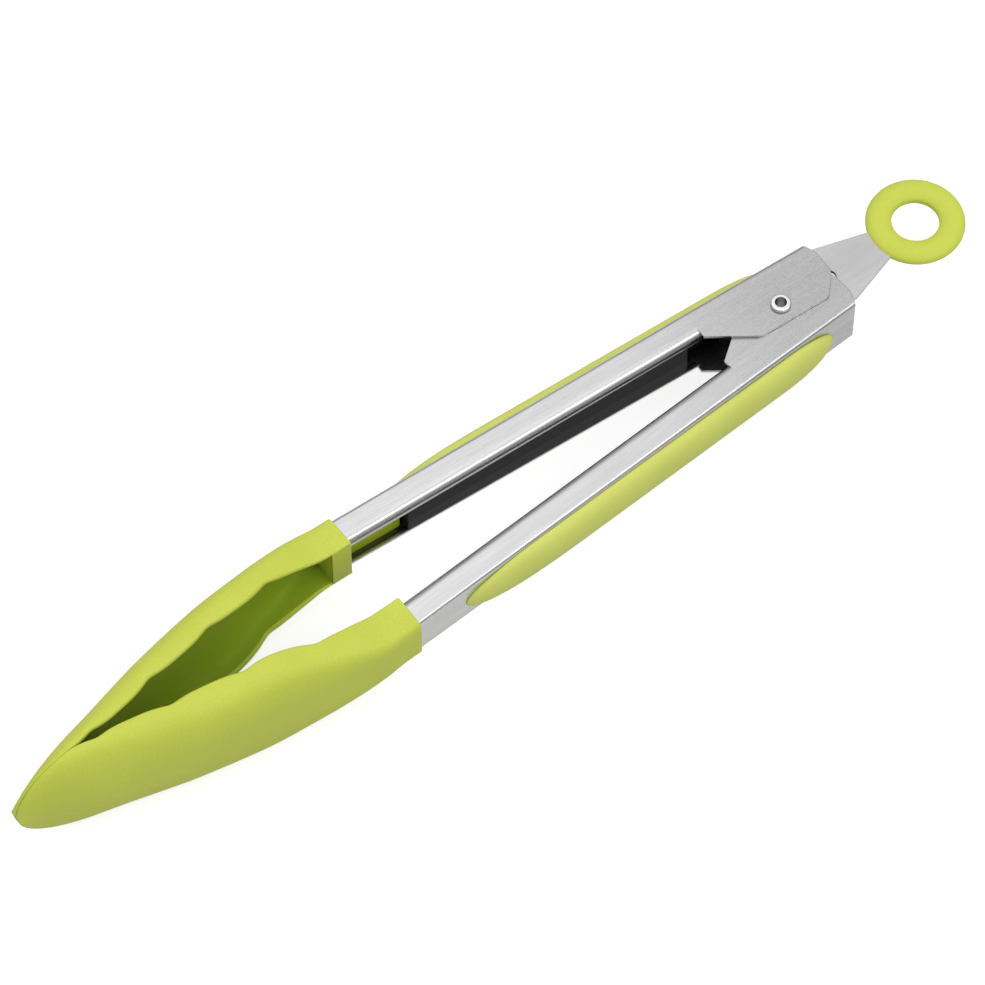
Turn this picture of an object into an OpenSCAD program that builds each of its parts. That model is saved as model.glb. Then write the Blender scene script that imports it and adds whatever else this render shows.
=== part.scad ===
// Spring loaded kitchen tongs, shut and locked, lying on their side.
// +Z is the pivot axis, +X points from the pivot to the hanging ring, and the heads reach towards -X.

/* [Arms] */
// Distance from the pivot axis to the outer face of each arm's web
web_offset = 13.7; // [13.5:0.1:13.9]
// Thickness of the steel sheet of the arms
sheet = 0.9; // [0.8:0.1:1]
// Angle of each arm to the centre line while the tongs are shut
splay = 3; // [2.9:0.1:3.1]
// Half width of the outer arm across its cheeks
outer_half = 9.8; // [9.6:0.1:10]
// Half width of both arms at the heads
front_half = 7.6; // [7.4:0.1:7.8]
// Outside radius of the bends between web and flanges
bend_r = 1.6; // [1.4:0.1:1.8]
// Distance from the pivot axis to the free edges of the flanges
flange_edge = 4.5; // [4.3:0.1:4.7]
// Height of the turned-in lip on each flange's free edge
lip_height = 3; // [2.6:0.1:3.4]

/* [Pivot] */
// Outside radius of the hollow rivet's shank
rivet_r = 2.3; // [2.2:0.05:2.35]
// Radius of the hole through the hollow rivet
rivet_hole_r = 1.8; // [1.6:0.05:1.85]
// Outside radius of the rivet's rolled rims
rim_r = 3.1; // [3:0.1:3.4]
// Outside radius of the spacer bush round the rivet
bush_r = 4; // [3.6:0.1:4.1]
// Diameter of the spring wire
wire_d = 1.6; // [1.4:0.1:1.6]
// Radius of the spring coil at the middle of the wire
coil_r = 5.2; // [5.1:0.1:5.4]
// Whole turns of the spring coil, beside the part turn between its legs
coil_turns = 4; // [2:1:5]

/* [Lock tab and ring] */
// Thickness of the lock tab
tab_thick = 1.2; // [1:0.1:1.3]
// Half width of the lock tab at its shoulders
tab_shoulder = 10.45; // [10.3:0.05:10.5]
// How far the lock tab slides
tab_travel = 15; // [13:1:15]
// Distance from the pivot to the centre of the hanging ring
ring_reach = 51; // [51:1:54]
// Radius of the ring at the middle of its section
ring_r = 10.9; // [10.6:0.1:11.2]
// Half width of the ring's section
ring_a = 4; // [3.9:0.1:4.1]
// Half height of the ring's section
ring_b = 2.3; // [2.2:0.1:2.5]

/* [Grips] */
// Half width of each grip pad
grip_half = 7; // [6.5:0.1:7]
// How far each grip pad stands out of the web
grip_proud = 4.5; // [4:0.1:5]

/* [Heads] */
// Distance from the pivot to the tips of the heads
tip_reach = 272; // [270:1:275]
// Half width of each scoop
scoop_half = 18.8; // [18:0.1:19.2]
// Distance along a head from one notch of its wavy rim to the next
scallop_pitch = 22.4; // [22:0.1:23]
// Depth of the notches of the wavy rim
scallop_depth = 1.2; // [0.6:0.1:1.4]

/* [Hidden] */
$fn = 72;

// Clearances between pieces
slip = 0.1;
snug = 0.05;
// A little extra length where one solid runs into another or cuts through it
over = 1;
// How far the tapered flanges lie inside the cheeks' outer faces
hair = 0.03;
// The inner arm nests inside the outer arm's cheeks
inner_half = outer_half - sheet - slip;
// Outer radius of the rolled lips
lip_r = lip_height - 0.1;
web_inside = web_offset - sheet;

// Places along an arm, measured from the pivot, towards -X where negative
cheek_start = -25;
arm_front = -153.5;
insert_front = -128;
insert_rear = -30;
insert_tail = -13;
peg_places = [-110, -75, -40];
peg_r = 2;
peg_reach = 2.2;
core_rivet_x = -150.9;
core_rivet_r = 1.3;
core_rivet_head_r = 2.1;
// Inner face of the core's tang, the insert's tail and the insert's ridge
tang_face = 7.5;
tang_half = 5.4;
tail_face = 9.8;
tail_half = 5.5;
ridge_face = 4.3;

// Outline of an arm's cheek: corners with their radii, in the arm's own plane
cheek_outline = [[-26.5, 4.5, 0], [-10.8, -5.7, 5], [13.4, -5.6, 2.5], [19.3, 1.2, 5],
                 [19.3, 9.2, 4.5], [17, 14.5, 2.5], [-26.5, 14.5, 0]];

// Heights of the pieces stacked on the pivot
tab_top = inner_half - sheet - slip;
tab_bottom = tab_top - tab_thick;
tab_mid = tab_top - tab_thick / 2;
rim_height = 1.3;
rim_wall = 0.65;
slot_half = rivet_r + 0.2;
slot_reach = tab_travel + 3;

// Profiles of a head: [distance from the pivot, value]
head_start = 147.6;
head_back = [[146, 22.35], [153, 22.8], [160, 23.4], [174, 22.4], [188, 20.8], [204, 18.9], [222, 15.7],
             [240, 11.3], [250, 8.9], [258, 6.4], [264, 4.4], [269, 2.9], [277, 2]];
head_rim = [[146, 11.15], [153, 11.3], [160, 11.5], [172, 11.6], [188, 9.1], [211, 5.9], [233, 2.1],
            [246, 0.25], [277, 0.25]];
head_width = [[146, 8.65], [157, 9], [166, 12], [178, 15.6], [191, 18.5], [204, 18.8], [280, 18.8]];
head_wall = [[146, 0.9], [153, 0.95], [160, 2.2], [170, 3.1], [235, 3], [277, 3]];
head_side = [[146, 0.85], [153, 0.95], [160, 1.6], [170, 1.9], [235, 1.8], [277, 1.7]];
head_square = [[146, 9], [160, 5.5], [178, 3.6], [200, 3], [230, 2.4], [255, 1.9],
               [277, 1.8]];
tip_start = 250;
tip_shape = 1.8;
first_notch = 177;
tip_full_turn = 82;

/* ---------- helpers ---------- */

function unit(v) = v / norm(v);
function turned(v, a) = [v[0] * cos(a) - v[1] * sin(a), v[0] * sin(a) + v[1] * cos(a)];

// Points of one rounded corner b of the path a, b, c
function corner(a, b, c, r, steps = 8) =
    let (to_a = unit([a[0] - b[0], a[1] - b[1]]), to_c = unit([c[0] - b[0], c[1] - b[1]]))
    let (opening = acos(to_a * to_c), back = r / tan(opening / 2))
    let (centre = [b[0], b[1]] + unit(to_a + to_c) * r / sin(opening / 2))
    let (first = [b[0], b[1]] + to_a * back - centre)
    let (sense = to_a[0] * to_c[1] - to_a[1] * to_c[0] > 0 ? -1 : 1)
    [for (i = [0:steps]) centre + turned(first, sense * (180 - opening) * i / steps)];

// A closed outline from [x, y, radius] corners
function rounded(pts) =
    let (n = len(pts))
    [for (i = [0:n - 1])
        each pts[i][2] > 0 ? corner(pts[(i + n - 1) % n], pts[i], pts[(i + 1) % n], pts[i][2])
                           : [[pts[i][0], pts[i][1]]]];

// A smooth curve through knots [t, value]
function piece_of(t, k, i = 0) = (i >= len(k) - 2 || t < k[i + 1][0]) ? i : piece_of(t, k, i + 1);
function slope(k, i) =
    let (a = max(i - 1, 0), b = min(i + 1, len(k) - 1))
    (k[b][1] - k[a][1]) / (k[b][0] - k[a][0]);
function smooth(t, k) =
    let (i = piece_of(t, k), h = k[i + 1][0] - k[i][0], s = (t - k[i][0]) / h)
    (2 * s * s * s - 3 * s * s + 1) * k[i][1] + (s * s * s - 2 * s * s + s) * h * slope(k, i)
    + (3 * s * s - 2 * s * s * s) * k[i + 1][1] + (s * s * s - s * s) * h * slope(k, i + 1);

// A solid skinned over rings of points, all rings with the same number of points. Each ring is
// closed across from point j to point n - 1 - j, which suits hollow and plain sections alike.
module loft(rings) {
    n = len(rings[0]);
    m = len(rings);
    last = (m - 1) * n;
    sides = [for (i = [0:m - 2], j = [0:n - 1], half = [0, 1])
        half == 0 ? [i * n + j, i * n + (j + 1) % n, (i + 1) * n + j]
                  : [i * n + (j + 1) % n, (i + 1) * n + (j + 1) % n, (i + 1) * n + j]];
    caps = [for (j = [0:floor(n / 2) - 2], half = [0, 1])
        half == 0 ? [j, n - 1 - j, j + 1] : [j + 1, n - 1 - j, n - 2 - j]];
    ends = concat(caps, [for (face = caps) [last + face[2], last + face[1], last + face[0]]]);
    polyhedron(points = [for (ring = rings) each ring], faces = concat(sides, ends));
}

// The upper arm's own frame, and its mirror image for the lower arm
module on_upper() { rotate([0, 0, -splay]) children(); }
module on_lower() { mirror([0, 1, 0]) on_upper() children(); }

// Turns a drawing of [distance from the pivot axis, height] to run along +X
module along_arm() { rotate([90, 0, 90]) children(); }

/* ---------- arms ---------- */

module quarter_ring(r_out, r_in, a) {
    rotate(a) intersection() {
        difference() {
            circle(r_out);
            circle(r_in);
        }
        square(r_out + over);
    }
}

// Section of one flange, drawn down from its outer plane at height 0
module flange_section(edge) {
    translate([web_offset - bend_r, -bend_r]) quarter_ring(bend_r, bend_r - sheet, 0);
    translate([edge, -sheet]) square([web_offset - bend_r - edge, sheet]);
}

module lip_section() {
    translate([flange_edge + lip_r, -lip_r]) quarter_ring(lip_r, lip_r - sheet, 90);
    translate([flange_edge, -lip_height]) square([sheet, lip_height - lip_r]);
}

function side_tilt(half) = atan((half - front_half) / (cheek_start - arm_front));

module tapered_flange(half) {
    run = (cheek_start - arm_front) / cos(side_tilt(half));
    translate([arm_front, 0, front_half - hair]) rotate([0, -side_tilt(half), 0]) along_arm() {
        linear_extrude(run) {
            flange_section(flange_edge + lip_r);
            lip_section();
        }
    }
}

module tapered_web(half) {
    rear = half - bend_r;
    front = front_half - bend_r;
    translate([0, web_offset, 0]) rotate([90, 0, 0]) linear_extrude(sheet)
        polygon([[arm_front, -front], [cheek_start, -rear], [cheek_start, rear], [arm_front, front]]);
}

module cheeks(half) {
    length = 50;
    intersection() {
        translate([cheek_start, 0, 0]) along_arm() linear_extrude(length) {
            for (side = [0, 1]) mirror([0, side]) translate([0, half]) flange_section(-10);
            translate([web_inside, bend_r - half]) square([sheet, 2 * (half - bend_r)]);
        }
        linear_extrude(2 * half + over, center = true) polygon(rounded(cheek_outline));
    }
}

module arm(half) {
    difference() {
        union() {
            cheeks(half);
            tapered_web(half);
            for (side = [0, 1]) mirror([0, 0, side]) tapered_flange(half);
        }
        cylinder(r = rivet_r + snug, h = 2 * half + over, center = true);
        for (x = peg_places)
            translate([x, web_inside - over, 0]) rotate([-90, 0, 0]) cylinder(r = peg_r, h = sheet + 2 * over);
        translate([core_rivet_x, web_offset, 0]) rotate([90, 0, 0]) core_rivet(0);
    }
}

/* ---------- head rivet: flush, countersunk in the web, through the core's tang ---------- */

module core_rivet(gap) {
    translate([0, 0, -0.01]) cylinder(r1 = core_rivet_head_r - gap, r2 = core_rivet_r - gap, h = sheet + 0.01);
    cylinder(r = core_rivet_r - gap, h = web_offset - tang_face);
}

module head_rivet() {
    translate([core_rivet_x, web_offset, 0]) rotate([90, 0, 0]) intersection() {
        core_rivet(0.02);
        cylinder(r = core_rivet_head_r, h = web_offset);
    }
}

/* ---------- inserts and grips ---------- */

function half_at(x, half) = front_half + (x - arm_front) * tan(side_tilt(half));

// Insert section scaled to the channel's width, with a ridge along its middle
function insert_section(x, half) =
    let (side = half_at(x, half) - sheet - snug, lip = half_at(x, half) - lip_height - snug)
    let (face = flange_edge + sheet + snug, top = web_inside - snug)
    let (one_side = [[ridge_face, 0.02], [flange_edge, lip], [face, lip], [face + lip_r - sheet, side],
                     [top - 0.8, side], [top, side - 0.8]])
    [for (p = one_side) [x, p[0], p[1]], for (i = [len(one_side) - 1:-1:0]) [x, one_side[i][0], -one_side[i][1]]];

module insert(half) {
    loft([insert_section(insert_front, half), insert_section(insert_rear, half)]);
    translate([insert_rear - over, tail_face, -tail_half])
        cube([insert_tail - insert_rear + over, web_inside - snug - tail_face, 2 * tail_half]);
    for (x = peg_places)
        translate([x, web_inside - over, 0]) rotate([-90, 0, 0])
            cylinder(r = peg_r - snug, h = over + sheet + peg_reach);
}

grip_front = -131.5;
grip_rear = 8.5;
// Fullness of the pad along its length: 0 at the tips, 1 in the middle
function fullness(x, blunt_front, blunt_rear) =
    let (f = min((x - grip_front) / blunt_front, 1), r = min((grip_rear - x) / blunt_rear, 1))
    sqrt(1 - pow(1 - f, 2)) * sqrt(1 - pow(1 - r, 2));

grip_stations = 30;
grip_points = 15;
function grip_place(i) = (grip_front + grip_rear) / 2 - (grip_rear - grip_front) / 2 * cos(180 * i / grip_stations);
function grip_ring(x) =
    let (w = max(grip_half * fullness(x, 26, 16), 0.4), t = max(grip_proud * fullness(x, 40, 22), 0.3))
    [for (j = [0:grip_points])
        let (a = 180 * j / grip_points - 90)
        [x, web_offset + 0.02 + t * pow(abs(cos(a)), 0.9), w * sin(a)]];

module grip() {
    difference() {
        loft([for (i = [0:grip_stations]) grip_ring(grip_place(i))]);
        for (x = peg_places)
            translate([x, web_inside, 0]) rotate([-90, 0, 0]) cylinder(r = peg_r, h = sheet + peg_reach + snug);
    }
}

/* ---------- heads ---------- */

function notch(s) = s < first_notch - scallop_pitch / 2 ? 0
    : pow(1 - abs(sin(180 * (s - first_notch) / scallop_pitch)), 1.6);
function rim_at(s) = smooth(s, head_rim) + scallop_depth * notch(s);
function tip_share(s) = s <= tip_start ? 1
    : pow(max(1 - pow((s - tip_start) / (tip_reach - tip_start), tip_shape), 0), 1 / tip_shape);
function width_at(s) = smooth(s, head_width) * scoop_half / head_width[5][1] * tip_share(s);
function wall_at(s) = min(smooth(s, head_wall), 0.55 * (smooth(s, head_back) - rim_at(s)));
function side_wall_at(s) = min(smooth(s, head_side), 0.45 * width_at(s));

arc_points = 11;
// Half arch of a head's section from the rim round the back: a squared ellipse
function arch(s, w, d, square_n) =
    [for (j = [-arc_points:arc_points])
        let (a = 90 * j / arc_points)
        let (z = sign(a) * pow(abs(sin(a)), 2 / square_n), y = pow(cos(a), 2 / square_n))
        [-s, rim_at(s) + d * y, w * z]];
function reversed(list) = [for (i = [len(list) - 1:-1:0]) list[i]];
function head_ring(s) =
    let (w = width_at(s), d = smooth(s, head_back) - rim_at(s), n = smooth(s, head_square))
    concat(arch(s, w, d, n),
           reversed(arch(s, w - side_wall_at(s), d - wall_at(s), s < 156 ? 2 * n : n)));

body_stations = [head_start, 150, 153, 156, 159, 162, 165, 168.5, 172, 174.5, 176, 177, 178, 179.5, 183, 188,
                 193, 197, 198.4, 199.4, 200.4, 202, 206, 211, 216, 219.5, 220.8, 221.8, 222.8, 224.4,
                 228, 233, 238, 242, 243.2, 244.2, 245.2, 247.5, 250];
tip_steps = 9;
tip_stations = [for (i = [1:tip_steps]) tip_start + (tip_reach - tip_start) * sin(tip_full_turn * i / tip_steps)];

// The core: a tang that fills the channel's front end, then a thin strip inside the head's back wall
strip_half = 8.5;
neck_width = 6.4;
strip_thick = 1.1;
strip_places = [164, 170, 178, 188, 200, 212, 224, 236];
function strip_mid(s) = smooth(s, head_back) - 1.75;
function strip_line(offset) = [for (s = strip_places) [-s, strip_mid(s) + offset]];
tang_front = -153.2;
tang_rear = -129;

module core_shape(gap) {
    on_upper() translate([tang_front, tang_face, -tang_half - gap])
        cube([tang_rear - tang_front, web_inside - snug - tang_face, 2 * (tang_half + gap)]);
    linear_extrude(2 * (neck_width + gap), center = true)
        polygon([[-150, 16.5 - gap], [-150, 20.1], [-154, 20.5],
                 [-157, strip_mid(157) + gap], [-166, strip_mid(166) + gap],
                 [-166, strip_mid(166) - 0.5 - gap], [-156, strip_mid(156) - 2 - gap]]);
    linear_extrude(2 * (strip_half + gap), center = true)
        polygon(concat(strip_line(strip_thick / 2 + gap), reversed(strip_line(-strip_thick / 2 - gap))));
}

module head_core() {
    difference() {
        core_shape(0);
        on_upper() translate([core_rivet_x, web_offset, 0]) rotate([90, 0, 0])
            cylinder(r = core_rivet_r, h = web_offset);
    }
}

// The closed end of a head: a sole under the flanges' lips, a plug between the lips at the rear and
// a wall in front of the arm. Each block is [front, rear, low, high, half width].
end_floor = head_rim[0][1];
end_step = 12.05;
head_end_blocks = [[154.4, head_start, end_floor, end_step, 8.2],
                   [148.8, head_start, end_step - 0.1, 15, 4.2],
                   [154.4, 153.3, end_floor, 20.6, 8.3],
                   [154.4, 153.3, end_floor, 22.2, 6.9]];

module head_end() {
    for (b = head_end_blocks)
        translate([-b[0], b[2], -b[4]]) cube([b[0] - b[1], b[3] - b[2], 2 * b[4]]);
}

module head() {
    difference() {
        union() {
            loft([for (s = concat(body_stations, tip_stations)) head_ring(s)]);
            head_end();
        }
        core_shape(snug);
    }
}

/* ---------- pivot ---------- */

module rolled_rim() {
    rotate_extrude() translate([rim_r - rim_wall, rim_wall]) circle(rim_wall, $fn = 32);
    cylinder(r = rim_r - rim_wall, h = 2 * rim_wall);
}

module rivet() {
    difference() {
        union() {
            cylinder(r = rivet_r, h = 2 * outer_half + 0.2, center = true);
            for (side = [0, 1]) mirror([0, 0, side]) translate([0, 0, outer_half + snug]) rolled_rim();
        }
        cylinder(r = rivet_hole_r, h = 4 * outer_half, center = true);
    }
}

bush_bottom = -(inner_half - sheet - slip);
bush_top = tab_bottom - slip;

module bush() {
    difference() {
        translate([0, 0, bush_bottom]) cylinder(r = bush_r, h = bush_top - bush_bottom);
        cylinder(r = rivet_r + 0.02, h = 4 * outer_half, center = true);
    }
}

// The spring: a coil with one straight leg against each arm's insert
leg_angle = 11;
leg_length = 26;
wire_sides = 8;
coil_pitch = wire_d + 0.25;
coil_span = 180 - 2 * leg_angle + 360 * coil_turns;
coil_mid = (bush_top + bush_bottom) / 2;
coil_height = coil_pitch * coil_span / 360;
coil_steps = 24 * (coil_turns + 1);
function coil_ring(i) =
    let (a = 90 - leg_angle - coil_span * i / coil_steps, z = coil_mid + coil_height * (0.5 - i / coil_steps))
    [for (k = [0:wire_sides - 1])
        let (b = 360 * k / wire_sides, r = coil_r + wire_d / 2 * cos(b))
        [r * cos(a), r * sin(a), z + wire_d / 2 * sin(b)]];
function leg_ring(side, way) =
    let (a = side * (90 - leg_angle), z = coil_mid + side * coil_height / 2)
    [for (k = [0:wire_sides - 1])
        let (b = 360 * k / wire_sides, r = coil_r + wire_d / 2 * cos(b))
        [r * cos(a) - way * sin(side * a), r * sin(a) + way * side * cos(a), z + wire_d / 2 * sin(b)]];

module spring() {
    loft(concat([leg_ring(1, leg_length)], [for (i = [0:coil_steps]) coil_ring(i)], [leg_ring(-1, leg_length)]));
}

/* ---------- lock tab and hanging ring ---------- */

eye_r_out = 12.6;
eye_r_in = 9.2;
neck_end = 40;
neck_half = 4.5;
shoulder_x = 20.5;
tab_corners = [[-8.5, -7.5, 3], [3, -10.2, 8], [shoulder_x, -tab_shoulder, 1.5], [neck_end, -neck_half, 0],
               [neck_end, neck_half, 0], [shoulder_x, tab_shoulder, 1.5], [3, 10.2, 8], [-8.5, 7.5, 3]];

module tab_outline(gap) {
    polygon(rounded(tab_corners));
    translate([ring_reach, 0]) circle(eye_r_out + gap);
}

module tab() {
    difference() {
        translate([0, 0, tab_bottom]) linear_extrude(tab_thick) tab_outline(0);
        translate([ring_reach, 0, 0]) cylinder(r = eye_r_in, h = 2 * outer_half);
        for (x = [0, slot_reach]) translate([x, 0, 0]) cylinder(r = slot_half, h = 2 * outer_half);
        translate([0, -slot_half, 0]) cube([slot_reach, 2 * slot_half, 2 * outer_half]);
    }
}

ring_land = 1.6;
ring_sides = 40;
// Section of the ring: an ellipse whose inner side is cut to a short straight land
ring_section = [for (i = [0:ring_sides - 1])
    let (a = 360 * (i + 0.5) / ring_sides, r = ring_a * cos(a), z = ring_b * sin(a))
    if (!(cos(a) < 0 && abs(z) < ring_land / 2)) [ring_r + r, z]];
land_r = ring_r - ring_a * sqrt(1 - pow(ring_land / 2 / ring_b, 2));
ring_profile = concat([for (p = ring_section) if (p[1] > 0) p], [[land_r, ring_land / 2], [land_r, -ring_land / 2]],
                      [for (p = ring_section) if (p[1] < 0) p]);

module ring() {
    difference() {
        translate([ring_reach, 0, tab_mid]) rotate_extrude() polygon(ring_profile);
        difference() {
            translate([0, 0, tab_bottom - snug]) linear_extrude(tab_thick + 2 * snug) union() {
                tab_outline(snug);
                translate([neck_end - 5, -neck_half - 2]) square([5, 2 * neck_half + 4]);
            }
            translate([ring_reach, 0, 0]) cylinder(r = eye_r_in - snug, h = 2 * outer_half);
        }
    }
}

/* ---------- nodes ---------- */

lime = [0.74, 0.82, 0.25];
steel = [0.78, 0.79, 0.8];
dark = [0.08, 0.08, 0.09];
module upper_arm() { color(steel) on_upper() arm(outer_half); }
module lower_arm() { color(steel) on_lower() arm(inner_half); }
module upper_insert() { color(dark) on_upper() insert(outer_half); }
module lower_insert() { color(dark) on_lower() insert(inner_half); }
module upper_grip() { color(lime) on_upper() grip(); }
module lower_grip() { color(lime) on_lower() grip(); }
module upper_head() { color(lime) head(); }
module lower_head() { color(lime) mirror([0, 1, 0]) head(); }
module upper_head_core() { color("olivedrab") head_core(); }
module lower_head_core() { color("olivedrab") mirror([0, 1, 0]) head_core(); }
module upper_head_rivet() { color(steel) on_upper() head_rivet(); }
module lower_head_rivet() { color(steel) on_lower() head_rivet(); }
module pivot_rivet() { color("silver") rivet(); }
module pivot_bush() { color("gray") bush(); }
module torsion_spring() { color("slategray") spring(); }
module lock_tab() { color([0.7, 0.7, 0.69]) tab(); }
module hang_ring() { color(lime) ring(); }

upper_arm();
lower_arm();
upper_insert();
lower_insert();
upper_grip();
lower_grip();
upper_head();
lower_head();
upper_head_core();
lower_head_core();
upper_head_rivet();
lower_head_rivet();
pivot_rivet();
pivot_bush();
torsion_spring();
lock_tab();
hang_ring();
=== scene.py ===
"""Spring loaded kitchen tongs, shut and locked, lying on their side.

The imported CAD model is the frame. The steel parts keep their CAD meshes and get materials here. The soft
parts, the spring and the ring are rebuilt as smooth meshes in the room that their CAD solids hold.
"""
import math

import bmesh
import bpy
import numpy as np
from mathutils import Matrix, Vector


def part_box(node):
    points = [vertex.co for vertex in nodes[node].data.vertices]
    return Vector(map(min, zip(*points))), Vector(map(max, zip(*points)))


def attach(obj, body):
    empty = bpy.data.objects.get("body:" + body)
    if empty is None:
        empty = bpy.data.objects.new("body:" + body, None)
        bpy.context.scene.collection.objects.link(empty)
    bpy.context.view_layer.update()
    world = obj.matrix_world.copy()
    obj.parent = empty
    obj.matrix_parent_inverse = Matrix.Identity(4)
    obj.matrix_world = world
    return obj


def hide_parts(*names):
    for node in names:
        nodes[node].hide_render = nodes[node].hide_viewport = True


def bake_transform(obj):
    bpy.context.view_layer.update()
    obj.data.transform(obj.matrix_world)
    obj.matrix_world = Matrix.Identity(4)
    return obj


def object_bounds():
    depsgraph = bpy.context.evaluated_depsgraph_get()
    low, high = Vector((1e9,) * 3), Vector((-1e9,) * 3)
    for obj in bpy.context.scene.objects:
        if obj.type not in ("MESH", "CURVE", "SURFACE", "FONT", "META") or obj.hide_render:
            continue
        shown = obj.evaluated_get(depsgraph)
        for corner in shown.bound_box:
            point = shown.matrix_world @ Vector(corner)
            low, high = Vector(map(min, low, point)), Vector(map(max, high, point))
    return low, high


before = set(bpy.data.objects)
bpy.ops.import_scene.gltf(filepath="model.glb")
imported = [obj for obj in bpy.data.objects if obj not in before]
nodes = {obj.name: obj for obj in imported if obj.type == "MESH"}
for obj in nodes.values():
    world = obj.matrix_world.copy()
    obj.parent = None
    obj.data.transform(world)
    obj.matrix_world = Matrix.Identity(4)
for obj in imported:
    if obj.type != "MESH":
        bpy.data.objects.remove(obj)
cad_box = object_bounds()

MM = 0.001
SIDES = {"upper": 1, "lower": -1}
ARM_BODY = {"upper": "outer_arm", "lower": "inner_arm"}
SPLAY = math.radians(3)


# ---------- shader building blocks ----------

def new_material(name):
    """An empty node material with its shader already joined to the output."""
    material = bpy.data.materials.new(name)
    material.use_nodes = True
    tree = material.node_tree
    tree.nodes.clear()
    output = tree.nodes.new("ShaderNodeOutputMaterial")
    shader = tree.nodes.new("ShaderNodeBsdfPrincipled")
    tree.links.new(shader.outputs["BSDF"], output.inputs["Surface"])
    return tree, shader, material


def mapped(tree, scale, turn=(0.0, 0.0, 0.0)):
    """Object coordinates, turned and then scaled, so that grain can follow a part's own length."""
    coords = tree.nodes.new("ShaderNodeTexCoord")
    first = tree.nodes.new("ShaderNodeMapping")
    first.inputs["Rotation"].default_value = turn
    tree.links.new(coords.outputs["Object"], first.inputs["Vector"])
    second = tree.nodes.new("ShaderNodeMapping")
    second.inputs["Scale"].default_value = scale
    tree.links.new(first.outputs["Vector"], second.inputs["Vector"])
    return second.outputs["Vector"]


def noise(tree, vector, scale=1.0, detail=2.0, roughness=0.5):
    node = tree.nodes.new("ShaderNodeTexNoise")
    node.inputs["Scale"].default_value = scale
    node.inputs["Detail"].default_value = detail
    node.inputs["Roughness"].default_value = roughness
    tree.links.new(vector, node.inputs["Vector"])
    return node.outputs["Fac"]


def ramp(tree, source, stops):
    """Colour ramp from [(place, grey or rgb), ...]."""
    node = tree.nodes.new("ShaderNodeValToRGB")
    elements = node.color_ramp.elements
    while len(elements) < len(stops):
        elements.new(0.5)
    for element, (place, value) in zip(elements, stops):
        rgb = value if isinstance(value, (tuple, list)) else (value,) * 3
        element.position = place
        element.color = (*rgb, 1.0)
    tree.links.new(source, node.inputs["Fac"])
    return node.outputs["Color"]


def blend_colours(tree, mode, factor, a, b):
    """Mix of two colours; factor, a and b may each be a socket or a constant."""
    node = tree.nodes.new("ShaderNodeMix")
    node.data_type = "RGBA"
    node.blend_type = mode
    for index, value in ((0, factor), (6, a), (7, b)):
        if isinstance(value, bpy.types.NodeSocket):
            tree.links.new(value, node.inputs[index])
        else:
            node.inputs[index].default_value = value
    return node.outputs[2]


def bump(tree, height, strength, distance, normal=None):
    node = tree.nodes.new("ShaderNodeBump")
    node.inputs["Strength"].default_value = strength
    node.inputs["Distance"].default_value = distance
    tree.links.new(height, node.inputs["Height"])
    if normal is not None:
        tree.links.new(normal, node.inputs["Normal"])
    return node.outputs["Normal"]


def rounded_edges(tree, radius):
    node = tree.nodes.new("ShaderNodeBevel")
    node.samples = 4
    node.inputs["Radius"].default_value = radius
    return node.outputs["Normal"]


# ---------- materials ----------

PLASTIC_SPECULAR = 0.12
SILICONE_SPECULAR = 0.25
FLECKS_PER_M = 430.0
# The cheeks' speckle fades out between these two places along the arm, towards the heads
SPECKLE_FAINT_X = -50 * MM
SPECKLE_FULL_X = 0.0
CUT_EDGE_RADIUS = 0.3 * MM


def brushed_steel(name, colour, roughness, turn, contrast=0.10, cheeks=False):
    """Sheet steel brushed along its length, with broad bands, long scratches and rounded cut edges.

    A fine speckle covers it; with cheeks, that grows stronger and duller towards the pivot.
    """
    tree, shader, material = new_material(name)
    lines = noise(tree, mapped(tree, (70, 4200, 4200), (0, 0, turn)), detail=3.0, roughness=0.65)
    bands = noise(tree, mapped(tree, (9, 200, 200), (0, 0, turn)), detail=2.0)
    speckle = noise(tree, mapped(tree, (1500, 2600, 2600), (0, 0, turn)), detail=3.0, roughness=0.7)
    cloud = noise(tree, mapped(tree, (60, 60, 60)), detail=3.0)
    low = tuple(c * (1 - contrast) for c in colour)
    high = tuple(min(c * (1 + contrast * 0.6), 1.0) for c in colour)
    base = ramp(tree, lines, [(0.32, low), (0.68, high)])
    tint = ramp(tree, bands, [(0.3, 0.86), (0.7, 1.0)])
    base = blend_colours(tree, "MULTIPLY", 0.7, base, tint)
    grains = ramp(tree, speckle, [(0.30, 0.69), (0.5, 0.80), (0.66, 0.88)])
    if cheeks:
        split = tree.nodes.new("ShaderNodeSeparateXYZ")
        coords = tree.nodes.new("ShaderNodeTexCoord")
        tree.links.new(coords.outputs["Object"], split.inputs[0])
        place = tree.nodes.new("ShaderNodeMapRange")
        place.inputs["From Min"].default_value = SPECKLE_FAINT_X
        place.inputs["From Max"].default_value = SPECKLE_FULL_X
        place.inputs["To Min"].default_value = 0.15
        place.inputs["To Max"].default_value = 1.0
        tree.links.new(split.outputs["X"], place.inputs["Value"])
        base = blend_colours(tree, "MULTIPLY", place.outputs["Result"], base, grains)
    else:
        base = blend_colours(tree, "MULTIPLY", 0.3, base, grains)
    edge = rounded_edges(tree, CUT_EDGE_RADIUS)
    tree.links.new(base, shader.inputs["Base Color"])
    rough = ramp(tree, cloud, [(0.3, roughness * 0.86), (0.7, roughness * 1.15)])
    tree.links.new(rough, shader.inputs["Roughness"])
    shader.inputs["Metallic"].default_value = 1.0
    tree.links.new(bump(tree, lines, 0.3, 0.02 * MM, edge), shader.inputs["Normal"])
    return material


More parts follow.
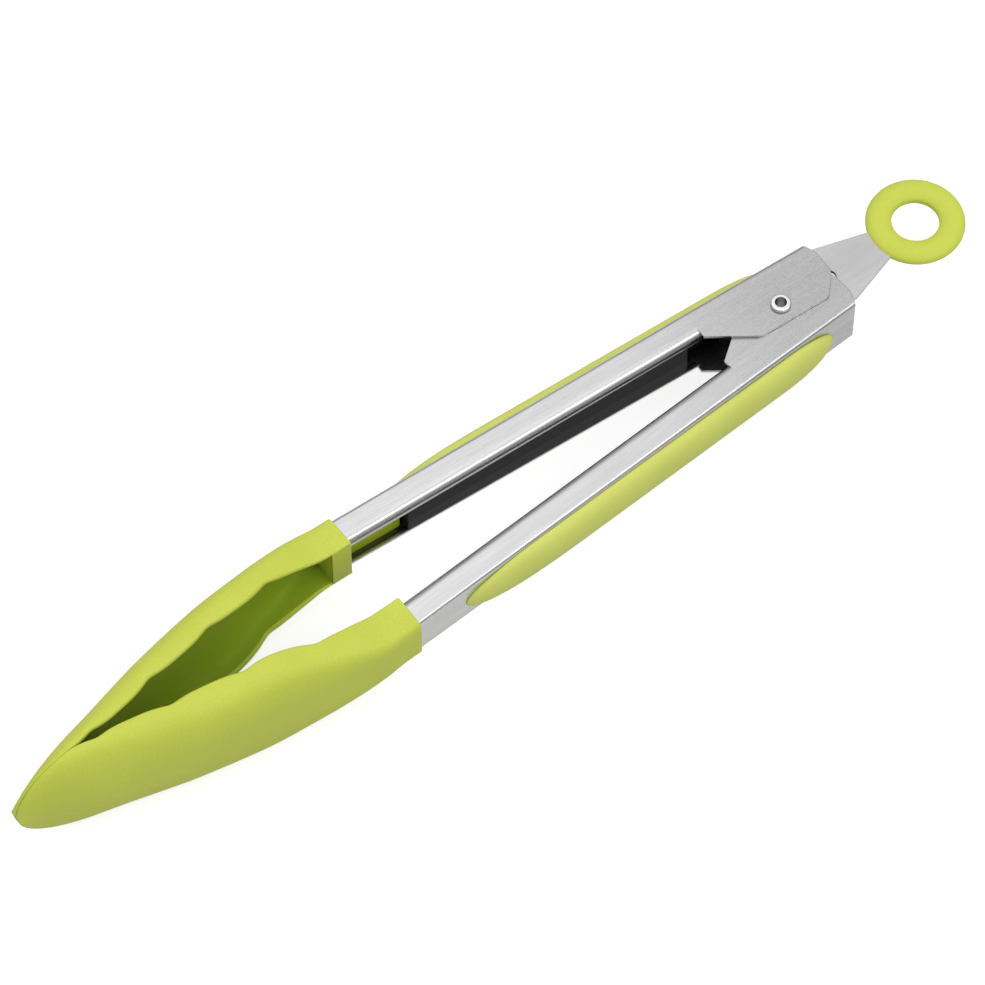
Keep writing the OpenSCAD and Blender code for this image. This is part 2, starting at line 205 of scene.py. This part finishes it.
def polished_steel(name, colour, roughness):
    """Bright plated or drawn steel with faint handling marks."""
    tree, shader, material = new_material(name)
    marks = noise(tree, mapped(tree, (900, 900, 900)), detail=3.0)
    tone = ramp(tree, marks, [(0.3, tuple(c * 0.93 for c in colour)), (0.7, colour)])
    tree.links.new(tone, shader.inputs["Base Color"])
    rough = ramp(tree, marks, [(0.3, roughness * 0.8), (0.7, roughness * 1.3)])
    tree.links.new(rough, shader.inputs["Roughness"])
    shader.inputs["Metallic"].default_value = 1.0
    return material


def silicone(name, colour, roughness=0.5, mottle=0.05, flecks=0.45):
    """Matte silicone: finely mottled and slightly cloudy, with sparse light flecks and a soft grain."""
    tree, shader, material = new_material(name)
    whole = mapped(tree, (1, 1, 1))
    dots = noise(tree, whole, scale=3200.0, detail=1.5, roughness=0.6)
    cloud = noise(tree, whole, scale=48.0, detail=2.0)
    dark = tuple(c * (1 - mottle) for c in colour)
    light = tuple(min(c * (1 + mottle), 1.0) for c in colour)
    base = ramp(tree, dots, [(0.34, dark), (0.5, colour), (0.68, light)])
    tint = ramp(tree, cloud, [(0.3, (0.95, 0.955, 0.93)), (0.7, (1.0, 1.0, 1.0))])
    base = blend_colours(tree, "MULTIPLY", 1.0, base, tint)
    cells = tree.nodes.new("ShaderNodeTexVoronoi")
    cells.inputs["Scale"].default_value = FLECKS_PER_M
    tree.links.new(whole, cells.inputs["Vector"])
    spots = ramp(tree, cells.outputs["Distance"], [(0.0, flecks), (0.05, flecks), (0.10, 0.0)])
    some = ramp(tree, cells.outputs["Color"], [(0.50, 0.0), (0.60, 1.0)])
    factor = tree.nodes.new("ShaderNodeMath")
    factor.operation = "MULTIPLY"
    tree.links.new(spots, factor.inputs[0])
    tree.links.new(some, factor.inputs[1])
    pale = tuple(0.45 * c + 0.50 for c in colour)
    base = blend_colours(tree, "MIX", factor.outputs[0], base, (*pale, 1.0))
    tree.links.new(base, shader.inputs["Base Color"])
    shader.inputs["Roughness"].default_value = roughness
    shader.inputs["Specular IOR Level"].default_value = SILICONE_SPECULAR
    fine = noise(tree, whole, scale=2600.0, detail=2.0)
    tree.links.new(bump(tree, fine, 0.3, 0.02 * MM), shader.inputs["Normal"])
    return material


def moulded_plastic(name, colour, roughness, edge_radius):
    """Injection moulded plastic with a fine spark-eroded grain."""
    tree, shader, material = new_material(name)
    grain = noise(tree, mapped(tree, (1, 1, 1)), scale=2400.0, detail=2.0)
    dark = tuple(c * 0.85 for c in colour)
    light = tuple(c * 1.15 for c in colour)
    tone = ramp(tree, grain, [(0.3, dark), (0.7, light)])
    tree.links.new(tone, shader.inputs["Base Color"])
    rough = ramp(tree, grain, [(0.3, roughness * 0.9), (0.7, roughness * 1.1)])
    tree.links.new(rough, shader.inputs["Roughness"])
    shader.inputs["Specular IOR Level"].default_value = PLASTIC_SPECULAR
    edge = rounded_edges(tree, edge_radius)
    tree.links.new(bump(tree, grain, 0.3, 0.03 * MM, edge), shader.inputs["Normal"])
    return material


def paint(obj, material):
    """Gives a whole object one material."""
    obj.data.materials.clear()
    obj.data.materials.append(material)


STEEL = (0.65, 0.65, 0.655)
LIME = (0.62, 0.69, 0.09)
# The inside of the heads is painted a darker, deeper green: painted shade for the hollow of the scoop, not a
# colour of the silicone
INSIDE_SHADE_LIME = (0.34, 0.47, 0.02)
GRIP_LIME = (0.68, 0.73, 0.16)
NYLON_GREEN = (0.42, 0.52, 0.03)
BLACK = (0.011, 0.011, 0.012)
TAB_STEEL = (0.66, 0.66, 0.66)
BUSH_STEEL = (0.5, 0.5, 0.51)
EYELET_STEEL = (0.86, 0.86, 0.87)
SPRING_STEEL = (0.55, 0.55, 0.57)
for side, sign in SIDES.items():
    paint(nodes[side + "_arm"], brushed_steel(side + "_arm_steel", STEEL, 0.27, sign * SPLAY, cheeks=True))
    paint(nodes[side + "_insert"], moulded_plastic(side + "_black", BLACK, 0.42, 0.4 * MM))
    paint(nodes[side + "_head_core"], moulded_plastic(side + "_green_nylon", NYLON_GREEN, 0.45, 0.3 * MM))
    paint(nodes[side + "_head_rivet"], polished_steel(side + "_rivet_steel", STEEL, 0.3))
paint(nodes["pivot_bush"], polished_steel("bush_steel", BUSH_STEEL, 0.35))
paint(nodes["pivot_rivet"], polished_steel("eyelet_steel", EYELET_STEEL, 0.22))
paint(nodes["lock_tab"], brushed_steel("tab_steel", TAB_STEEL, 0.45, 0.0, contrast=0.05))
spring_steel = polished_steel("spring_steel", SPRING_STEEL, 0.25)
head_silicone = silicone("head_silicone", LIME)
# Darker green material for the scoop's inside: painted shade
inside_shade_silicone = silicone("inside_shade_silicone", INSIDE_SHADE_LIME, 0.6, flecks=0.2)
grip_rubber = silicone("grip_rubber", GRIP_LIME, 0.5, mottle=0.03, flecks=0.15)
ring_silicone = silicone("ring_silicone", LIME, 0.45, mottle=0.03, flecks=0.2)


# ---------- meshes ----------

def mesh_object(name, rings, material):
    """A closed skin over rings of points, each given as an array of shape (points, 3), with capped ends."""
    rings = [np.asarray(ring, float) for ring in rings]
    count = len(rings[0])
    faces = []
    for i in range(len(rings) - 1):
        for j in range(count):
            k = (j + 1) % count
            faces.append((i * count + j, i * count + k, (i + 1) * count + k, (i + 1) * count + j))
    last = (len(rings) - 1) * count
    for j in range(count // 2 - 1):
        faces.append((j + 1, j, count - 1 - j, count - 2 - j))
        faces.append((last + j, last + j + 1, last + count - 2 - j, last + count - 1 - j))
    mesh = bpy.data.meshes.new(name)
    mesh.from_pydata([tuple(p * MM) for ring in rings for p in ring], [], faces)
    mesh.polygons.foreach_set("use_smooth", [True] * len(mesh.polygons))
    mesh.update()
    obj = bpy.data.objects.new(name, mesh)
    bpy.context.scene.collection.objects.link(obj)
    bm = bmesh.new()
    bm.from_mesh(mesh)
    bmesh.ops.recalc_face_normals(bm, faces=bm.faces)
    bm.to_mesh(mesh)
    bm.free()
    paint(obj, material)
    return obj


def curve_through(knots):
    """Smooth curve through (place, value) knots, with the same slopes as the CAD source uses."""
    places = np.array([k[0] for k in knots], float)
    values = np.array([k[1] for k in knots], float)
    count = len(knots)
    before = np.maximum(np.arange(count) - 1, 0)
    after = np.minimum(np.arange(count) + 1, count - 1)
    slopes = (values[after] - values[before]) / (places[after] - places[before])

    def value(place):
        i = int(np.clip(np.searchsorted(places, place, side="right") - 1, 0, count - 2))
        step = places[i + 1] - places[i]
        t = (place - places[i]) / step
        return float((2 * t**3 - 3 * t**2 + 1) * values[i] + (t**3 - 2 * t**2 + t) * step * slopes[i]
                     + (3 * t**2 - 2 * t**3) * values[i + 1] + (t**3 - t**2) * step * slopes[i + 1])
    return value


def resampled(points, count):
    """The same line with count points an equal distance apart."""
    points = np.asarray(points, float)
    steps = np.r_[0, np.cumsum(np.linalg.norm(np.diff(points, axis=0), axis=1))]
    places = np.linspace(0, steps[-1], count)
    return np.stack([np.interp(places, steps, points[:, i]) for i in range(points.shape[1])], -1)


# ---------- heads ----------

HEAD_START = -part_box("upper_head")[1].x / MM
TIP_REACH = 272
TIP_START = 250
TIP_SHAPE = 1.8
TIP_STEPS = 44
TIP_END_ANGLE = 88.5
STATION_STEP = 0.8
ARCH_POINTS = 72
LIP_POINTS = 8
SAMPLES = 361
COLLAR_END = 156
CORNER_POINTS = 6
SCALLOP_PITCH = 22.4
SCALLOP_DEPTH = 1.2
FIRST_NOTCH = 177
LAST_WAVE = FIRST_NOTCH + 3.5 * SCALLOP_PITCH
NOTCH_ROUNDING = 0.03
NOTCH_SHAPE = 1.6
NOTCH_GAIN = 1.25
# Knots are (distance from the pivot, value), in millimetres apart from the squareness
head_back = curve_through([(146, 22.35), (153, 22.8), (160, 23.4), (174, 22.4), (188, 20.8), (204, 18.9),
                           (222, 15.7), (240, 11.3), (250, 8.9), (258, 6.4), (264, 4.4), (269, 2.9),
                           (277, 2)])
head_rim = curve_through([(146, 11.15), (153, 11.3), (160, 11.5), (172, 11.6), (188, 9.1), (211, 5.9),
                          (233, 2.1), (246, 0.12), (277, 0.08)])
head_width = curve_through([(146, 8.65), (157, 9), (166, 12), (178, 15.6), (191, 18.5), (204, 18.8),
                            (280, 18.8)])
head_wall = curve_through([(146, 0.9), (153, 0.95), (160, 2.2), (170, 3.1), (235, 3), (277, 3)])
head_side = curve_through([(146, 0.85), (153, 0.95), (160, 1.6), (170, 1.9), (235, 1.8), (277, 1.7)])
head_square = curve_through([(146, 9), (160, 5.5), (178, 3.6), (200, 3), (230, 2.4), (255, 1.9),
                             (277, 1.8)])


def notch(s):
    """Nearly 1 in the rounded middle of a notch of the wavy rim, falling to 0 halfway to the next."""
    if s < FIRST_NOTCH - SCALLOP_PITCH / 2 or s > LAST_WAVE:
        return 0.0
    wave = math.sin(math.pi * (s - FIRST_NOTCH) / SCALLOP_PITCH) ** 2
    return NOTCH_GAIN * (1 - math.sqrt((wave + NOTCH_ROUNDING) / (1 + NOTCH_ROUNDING))) ** NOTCH_SHAPE


def arch(half_width, foot, depth, square, dent):
    """Half arch of a head's section from one foot round the back to the other, as (y, z) points.

    The feet are moved in by dent, and the arch above them less and less.
    """
    a = np.linspace(-math.pi / 2, math.pi / 2, SAMPLES)
    z = half_width * np.sign(a) * np.abs(np.sin(a)) ** (2 / square)
    rise = np.maximum(np.cos(a), 0) ** (2 / square)
    return resampled(np.stack([foot + depth * rise + dent * (1 - rise) ** 2, z], -1), ARCH_POINTS)


def head_ring(s, inset=0.0):
    """Section of a head at s from the pivot: outer arch, round lip, inner arch, round lip."""
    share = 1.0
    if s > TIP_START:
        share = max(1 - ((s - TIP_START) / (TIP_REACH - TIP_START)) ** TIP_SHAPE, 0) ** (1 / TIP_SHAPE)
    width = head_width(s) * share
    rim = head_rim(s)
    dent = SCALLOP_DEPTH * notch(s)
    depth = head_back(s) - rim
    wall = min(head_wall(s), 0.55 * depth)
    side = min(head_side(s), 0.45 * width)
    square = head_square(s)
    lip = min(side / 2, 0.3 * depth, max(0.35, (256 - s) * 0.05))
    foot = rim + lip
    outer = arch(width - inset, foot, depth - lip - inset, square, dent)
    inner = arch(width - side, foot, depth - lip - wall, 2 * square if s < COLLAR_END else square, dent)
    turn = np.linspace(0, math.pi, LIP_POINTS + 2)[1:-1]
    middle = width - inset - (side - inset) / 2
    lip_top = np.stack([foot + dent - lip * np.sin(turn),
                        middle + (side - inset) / 2 * np.cos(turn)], -1)
    lip_bottom = lip_top[::-1] * [1, -1]
    half = len(lip_top) // 2
    ring = np.concatenate([lip_bottom[half:], outer, lip_top, inner[::-1], lip_bottom[:half]])
    return np.column_stack([np.full(len(ring), -s), ring])


def block(name, low, high, material, radius=0.3):
    """Box with softly rounded edges between two corners, lofted along Z."""
    def ring(z, inset):
        x_low, y_low = low[0] + inset + radius, low[1] + inset + radius
        x_high, y_high = high[0] - inset - radius, high[1] - inset - radius
        corners = ((x_high, y_low, 270), (x_high, y_high, 0), (x_low, y_high, 90), (x_low, y_low, 180))
        points = []
        for x, y, start in corners:
            for i in range(CORNER_POINTS):
                a = math.radians(start + 90 / (CORNER_POINTS - 1) * i)
                points.append((x + radius * math.cos(a), y + radius * math.sin(a), z))
        return np.array(points)

    ends = [(0.0, 0.12), (0.06, 0.04), (0.15, 0.0)]
    rings = [ring(low[2] + step, inset) for step, inset in ends]
    rings += [ring(high[2] - step, inset) for step, inset in ends[::-1]]
    return mesh_object(name, rings, material)


def paint_inside_shade(obj, ring_size, material):
    """Gives the faces between the inner arches a second material, a darker and deeper green: painted shade
    inside the scoop.
    """
    obj.data.materials.append(material)
    first = LIP_POINTS // 2 + ARCH_POINTS + LIP_POINTS
    last = first + ARCH_POINTS - 1
    for face in obj.data.polygons:
        places = [v % ring_size for v in face.vertices]
        if min(places) >= first and max(places) <= last:
            face.material_index = 1


# The closed end of a head: (name, front, rear, low, high, half width)
END_BLOCKS = [("sole", 154.4, HEAD_START + 0.02, 11.2, 12.05, 8.25),
              ("plug", 148.8, HEAD_START + 0.04, 11.9, 15, 4.2),
              ("front_wall", 154.4, 153.3, 11.22, 20.5, 8.3)]
# How far the outside is pulled in at the first stations, so that the collar's rear edge is rounded
REAR_EDGE = ((0, 0.3), (0.05, 0.16), (0.15, 0.06), (0.35, 0))
head_stations = [(HEAD_START + step, inset) for step, inset in REAR_EDGE]
head_stations += [(s, 0.0) for s in np.arange(HEAD_START + 0.9, TIP_START, STATION_STEP)]
tip_angles = [math.radians(TIP_END_ANGLE) * i / TIP_STEPS for i in range(1, TIP_STEPS + 1)]
head_stations += [(TIP_START + (TIP_REACH - TIP_START) * math.sin(angle), 0.0) for angle in tip_angles]
for side, sign in SIDES.items():
    rings = [head_ring(s, inset) * [1, sign, 1] for s, inset in head_stations]
    head = mesh_object(side + "_silicone_head", rings, head_silicone)
    # The inside faces of the scoop get the darker material: painted shade
    paint_inside_shade(head, len(rings[0]), inside_shade_silicone)
    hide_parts(side + "_head")
    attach(head, ARM_BODY[side])
    for name, front, rear, low, high, half in END_BLOCKS:
        y = sorted((sign * low, sign * high))
        piece = block(f"{side}_head_{name}", (-front, y[0], -half), (-rear, y[1], half), head_silicone)
        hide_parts(side + "_head")
        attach(piece, ARM_BODY[side])


# ---------- grips ----------

WEB_OFFSET = 13.7
GRIP_FRONT = -131.5
GRIP_REAR = 8.5
GRIP_HALF = 7.0
GRIP_PROUD = 4.5
GRIP_STATIONS = 150
GRIP_POINTS = 40
GRIP_CLEARANCE = 0.02


def fullness(x, front, rear):
    """0 at the grip's tips, 1 in its middle."""
    f = min((x - GRIP_FRONT) / front, 1)
    r = min((GRIP_REAR - x) / rear, 1)
    return math.sqrt(max(1 - (1 - f) ** 2, 0)) * math.sqrt(max(1 - (1 - r) ** 2, 0))


def on_arm(points, sign):
    """Turns points from an arm's own frame to the row frame."""
    x, y, z = np.asarray(points, float).T
    c, n = math.cos(SPLAY), math.sin(SPLAY)
    return np.stack([x * c + y * n, sign * (y * c - x * n), z], -1)


def grip_ring(x):
    width = max(GRIP_HALF * fullness(x, 26, 16), 0.15)
    proud = max(GRIP_PROUD * fullness(x, 40, 22), 0.12)
    a = np.linspace(-math.pi / 2, math.pi / 2, SAMPLES)
    y = WEB_OFFSET + GRIP_CLEARANCE + proud * np.maximum(np.cos(a), 0) ** 0.9
    line = resampled(np.stack([y, width * np.sin(a)], -1), GRIP_POINTS)
    return np.column_stack([np.full(GRIP_POINTS, x), line])


middle, half = (GRIP_FRONT + GRIP_REAR) / 2, (GRIP_REAR - GRIP_FRONT) / 2
grip_places = [middle - half * math.cos(math.pi * i / GRIP_STATIONS) for i in range(GRIP_STATIONS + 1)]
for side, sign in SIDES.items():
    grip = mesh_object(side + "_grip_pad", [on_arm(grip_ring(x), sign) for x in grip_places], grip_rubber)
    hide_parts(side + "_grip")
    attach(grip, ARM_BODY[side])


# ---------- hanging ring ----------

ring_low, ring_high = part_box("hang_ring")
RING_CENTRE = (ring_low + ring_high) / 2 / MM
RING_HALF_HEIGHT = (ring_high.z - ring_low.z) / 2 / MM
RING_HALF_WIDTH = 4.0
RING_R = (ring_high.y - ring_low.y) / 2 / MM - RING_HALF_WIDTH
RING_STEPS = 160
RING_POINTS = 40
RING_INNER_CUT = 0.94


def ring_section(turn):
    """The ring's section at an angle round its centre: an ellipse with a slightly flattened inner side."""
    a = np.linspace(0, 2 * math.pi, RING_POINTS, endpoint=False)
    r = RING_R + np.maximum(RING_HALF_WIDTH * np.cos(a), -RING_INNER_CUT * RING_HALF_WIDTH)
    z = RING_HALF_HEIGHT * np.sin(a)
    return np.stack([RING_CENTRE.x + r * math.cos(turn), RING_CENTRE.y + r * math.sin(turn),
                     RING_CENTRE.z + z], -1)


def torus(name, sections, material):
    """A closed ring of sections, with no ends to cap."""
    obj = mesh_object(name, [*sections, sections[0]], material)
    bm = bmesh.new()
    bm.from_mesh(obj.data)
    ends = {v for v in bm.verts if v.index < len(sections[0]) or v.index >= len(sections) * len(sections[0])}
    caps = [f for f in bm.faces if all(v in ends for v in f.verts)]
    bmesh.ops.delete(bm, geom=caps, context="FACES_ONLY")
    bmesh.ops.remove_doubles(bm, verts=list(bm.verts), dist=1e-7)
    bmesh.ops.recalc_face_normals(bm, faces=bm.faces)
    bm.to_mesh(obj.data)
    bm.free()
    return obj


ring = torus("silicone_ring", [ring_section(2 * math.pi * i / RING_STEPS) for i in range(RING_STEPS)],
             ring_silicone)
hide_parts("hang_ring")
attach(ring, "lock")


# ---------- torsion spring ----------

WIRE_R = 0.8
WIRE_POINTS = 16
HALF_COIL_STEPS = 120
COIL_R = 5.2
COIL_TURNS = 4
LEG_ANGLE = 11
LEG_LENGTH = 26
spring_low, spring_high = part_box("torsion_spring")
COIL_MIDDLE = (spring_low.z + spring_high.z) / 2 / MM
COIL_HEIGHT = (spring_high.z - spring_low.z) / MM - 2 * WIRE_R
COIL_SPAN = 180 - 2 * LEG_ANGLE + 360 * COIL_TURNS


def wire_ring(centre, along):
    """Round section of the wire at a point, square to its run."""
    along = np.asarray(along, float) / np.linalg.norm(along)
    across = np.cross([0, 0, 1], along)
    across /= np.linalg.norm(across)
    up = np.cross(along, across)
    a = np.linspace(0, 2 * math.pi, WIRE_POINTS, endpoint=False)[:, None]
    return np.asarray(centre) + WIRE_R * (np.cos(a) * across + np.sin(a) * up)


def half_spring(sign):
    """Half the coil, from its middle turn up (sign 1) or down, and the leg that it ends in."""
    rings = []
    for i in range(HALF_COIL_STEPS + 1):
        share = 0.5 - 0.5 * i / HALF_COIL_STEPS
        a = math.radians(90 - LEG_ANGLE - COIL_SPAN * share)
        centre = np.array([COIL_R * math.cos(a), COIL_R * math.sin(a),
                           COIL_MIDDLE + COIL_HEIGHT * (0.5 - share)])
        run = np.array([-math.sin(a), math.cos(a), COIL_HEIGHT / math.radians(COIL_SPAN) / COIL_R])
        if sign < 0:
            centre[1:] = -centre[1], 2 * COIL_MIDDLE - centre[2]
            run[1:] *= -1
        rings.append(wire_ring(centre, run))
    run[2] = 0
    for length in (0.5, 1.5, 8, 16, LEG_LENGTH - 0.3):
        rings.append(wire_ring(centre + length * run / np.linalg.norm(run), run))
    return rings


for side, sign in SIDES.items():
    wire = mesh_object(side + "_spring_half", half_spring(sign), spring_steel)
    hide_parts("torsion_spring")
    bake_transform(wire)


# ---------- camera ----------

AZIMUTH = math.radians(-37.1)
ELEVATION = math.radians(59.0)
DISTANCE = 1.571
LENS = 199.6
AIM = Vector((-0.110, 0, 0))
AIM_RIGHT = 0.00347
AIM_ABOVE = 0.00697
back = Vector((math.sin(AZIMUTH) * math.cos(ELEVATION), -math.cos(AZIMUTH) * math.cos(ELEVATION),
               math.sin(ELEVATION)))
right = Vector((math.cos(AZIMUTH), math.sin(AZIMUTH), 0))
above = back.cross(right)
target = AIM + right * AIM_RIGHT + above * AIM_ABOVE
camera = bpy.data.objects.new("camera", bpy.data.cameras.new("camera"))
bpy.context.scene.collection.objects.link(camera)
camera.data.sensor_width = 36
camera.data.lens = LENS
camera.data.clip_end = 10
camera.location = target + back * DISTANCE
camera.rotation_mode = "QUATERNION"
camera.rotation_quaternion = (-back).to_track_quat("-Z", "Y")
bpy.context.scene.camera = camera


# ---------- floor and light ----------

FLOOR_GREY = (0.56, 0.56, 0.56, 1)
FLOOR_GLOW = 0.7
GLOW_IN_REFLECTIONS = 0.5


def floor_material():
    """Pale floor with faint shadows: it glows for the camera, and at half strength in reflections."""
    tree, shader, material = new_material("pale_floor")
    shader.inputs["Base Color"].default_value = FLOOR_GREY
    shader.inputs["Roughness"].default_value = 1.0
    shader.inputs["Specular IOR Level"].default_value = 0.0
    glow = tree.nodes.new("ShaderNodeEmission")
    glow.inputs["Color"].default_value = (1, 1, 1, 1)
    glow.inputs["Strength"].default_value = FLOOR_GLOW
    seen = tree.nodes.new("ShaderNodeLightPath")
    none = tree.nodes.new("ShaderNodeEmission")
    none.inputs["Strength"].default_value = 0.0
    pick = tree.nodes.new("ShaderNodeMixShader")
    share = tree.nodes.new("ShaderNodeMath")
    share.operation = "MULTIPLY_ADD"
    tree.links.new(seen.outputs["Is Glossy Ray"], share.inputs[0])
    share.inputs[1].default_value = GLOW_IN_REFLECTIONS
    tree.links.new(seen.outputs["Is Camera Ray"], share.inputs[2])
    tree.links.new(share.outputs[0], pick.inputs[0])
    tree.links.new(none.outputs[0], pick.inputs[1])
    tree.links.new(glow.outputs[0], pick.inputs[2])
    total = tree.nodes.new("ShaderNodeAddShader")
    tree.links.new(shader.outputs["BSDF"], total.inputs[0])
    tree.links.new(pick.outputs[0], total.inputs[1])
    output = next(n for n in tree.nodes if n.type == "OUTPUT_MATERIAL")
    tree.links.new(total.outputs[0], output.inputs["Surface"])
    return material


FLOOR_Z = cad_box[0].z - 0.1 * MM
FLOOR_HALF = 3.0
mesh = bpy.data.meshes.new("floor")
mesh.from_pydata([(-FLOOR_HALF, -FLOOR_HALF, FLOOR_Z), (FLOOR_HALF, -FLOOR_HALF, FLOOR_Z),
                  (FLOOR_HALF, FLOOR_HALF, FLOOR_Z), (-FLOOR_HALF, FLOOR_HALF, FLOOR_Z)], [], [(0, 1, 2, 3)])
floor = bpy.data.objects.new("floor", mesh)
bpy.context.scene.collection.objects.link(floor)
paint(floor, floor_material())


def area_light(name, place, aim, size, radiance):
    """Soft rectangular light at place, turned to face aim, of that brightness."""
    light = bpy.data.lights.new(name, "AREA")
    light.shape = "RECTANGLE"
    light.size, light.size_y = size
    light.energy = radiance * math.pi * size[0] * size[1]
    obj = bpy.data.objects.new(name, light)
    obj.location = place
    obj.rotation_mode = "QUATERNION"
    obj.rotation_quaternion = (Vector(aim) - Vector(place)).to_track_quat("-Z", "Y")
    bpy.context.scene.collection.objects.link(obj)
    return obj


def studio_world():
    """A light tent: bright overhead, greyer towards the horizon."""
    world = bpy.data.worlds.new("studio")
    world.use_nodes = True
    tree = world.node_tree
    coords = tree.nodes.new("ShaderNodeTexCoord")
    split = tree.nodes.new("ShaderNodeSeparateXYZ")
    tree.links.new(coords.outputs["Generated"], split.inputs[0])
    shade = ramp(tree, split.outputs["Z"], [(0.0, 0.22), (0.30, 0.38), (0.62, 0.82), (0.95, 0.98)])
    tree.links.new(shade, tree.nodes["Background"].inputs["Color"])
    return world


bpy.context.scene.world = studio_world()
area_light("key", (-0.27, 0.30, 1.0), (-0.27, 0.30, 0), (1.24, 1.1), 0.42)
area_light("front_strip", (0.25, -0.75, 0.95), (-0.1, 0, 0), (1.3, 0.22), 3.2)
bpy.context.scene.view_settings.view_transform = "Standard"
